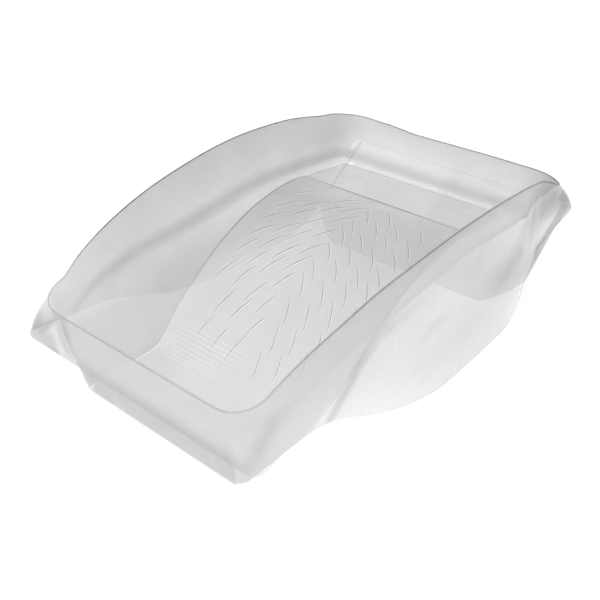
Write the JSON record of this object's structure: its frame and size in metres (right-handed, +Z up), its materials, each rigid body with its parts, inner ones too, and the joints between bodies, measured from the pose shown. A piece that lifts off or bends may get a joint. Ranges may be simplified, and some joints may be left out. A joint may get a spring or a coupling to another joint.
{
  "type": "paint roller tray",
  "caption": "See-through moulded paint roller tray: a deep front well, an arched ramp with raised feather-pattern strokes, a rear shelf, tall bowed side walls and outer skirts it stands on",
  "frame": {"origin": "centre of the footprint, on the surface the tray stands on", "axes": "+Z up; +Y from the deep well at the front towards the shelf at the rear; +X to the right, seen from the front"},
  "size_m": [0.3346, 0.547, 0.1742],
  "materials": {
    "milky_clear_plastic": "thin milky see-through moulding with a soft gloss"
  },
  "bodies": {
    "root": {"well_floor": "milky_clear_plastic", "front_wall_lower": "milky_clear_plastic", "front_wall_upper": "milky_clear_plastic", "right_well_wall": "milky_clear_plastic", "left_well_wall": "milky_clear_plastic", "ramp": "milky_clear_plastic", "right_ramp_ledge": "milky_clear_plastic", "left_ramp_ledge": "milky_clear_plastic", "rear_shelf": "milky_clear_plastic", "right_upper_wall": "milky_clear_plastic", "left_upper_wall": "milky_clear_plastic", "rear_upper_wall": "milky_clear_plastic", "front_rim": "milky_clear_plastic", "right_rim": "milky_clear_plastic", "left_rim": "milky_clear_plastic", "rear_rim": "milky_clear_plastic", "front_skirt": "milky_clear_plastic", "right_skirt": "milky_clear_plastic", "left_skirt": "milky_clear_plastic", "rear_skirt": "milky_clear_plastic", "rear_foot": "milky_clear_plastic"}
  },
  "joints": []
}
